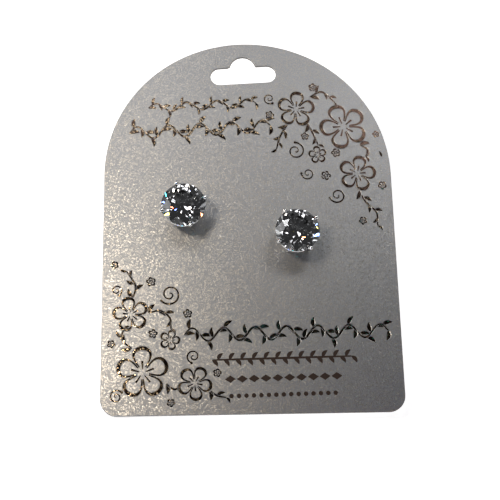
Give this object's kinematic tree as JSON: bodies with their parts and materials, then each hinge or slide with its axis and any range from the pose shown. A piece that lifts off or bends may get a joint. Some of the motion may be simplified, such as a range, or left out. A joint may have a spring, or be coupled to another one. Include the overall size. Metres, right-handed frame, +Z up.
{
  "type": "pair of stud earrings on a display card",
  "caption": "Stud earrings with round brilliant stones in claw settings, their posts pushed through an arched pearl-grey hanging card and held behind it by butterfly nuts.",
  "frame": {"origin": "on the table, under the middle of the whole object's box", "axes": "+Z up from the table; +Y from the card's straight lower edge, which is nearest the camera, to its arched top; +X to the right"},
  "size_m": [0.0546, 0.07, 0.0195],
  "materials": {
    "card": "pearlescent silver-grey card with a fine glitter",
    "silver_plate": "bright silver plate, polished",
    "nut_metal": "silver-plated strip, tumbled smooth",
    "stone": "clear cut crystal, polished facets"
  },
  "bodies": {
    "root": {"display_card": "card", "left_setting": "silver_plate", "left_stone": "stone", "left_ear_nut": "nut_metal", "right_setting": "silver_plate", "right_stone": "stone", "right_ear_nut": "nut_metal"}
  },
  "joints": []
}
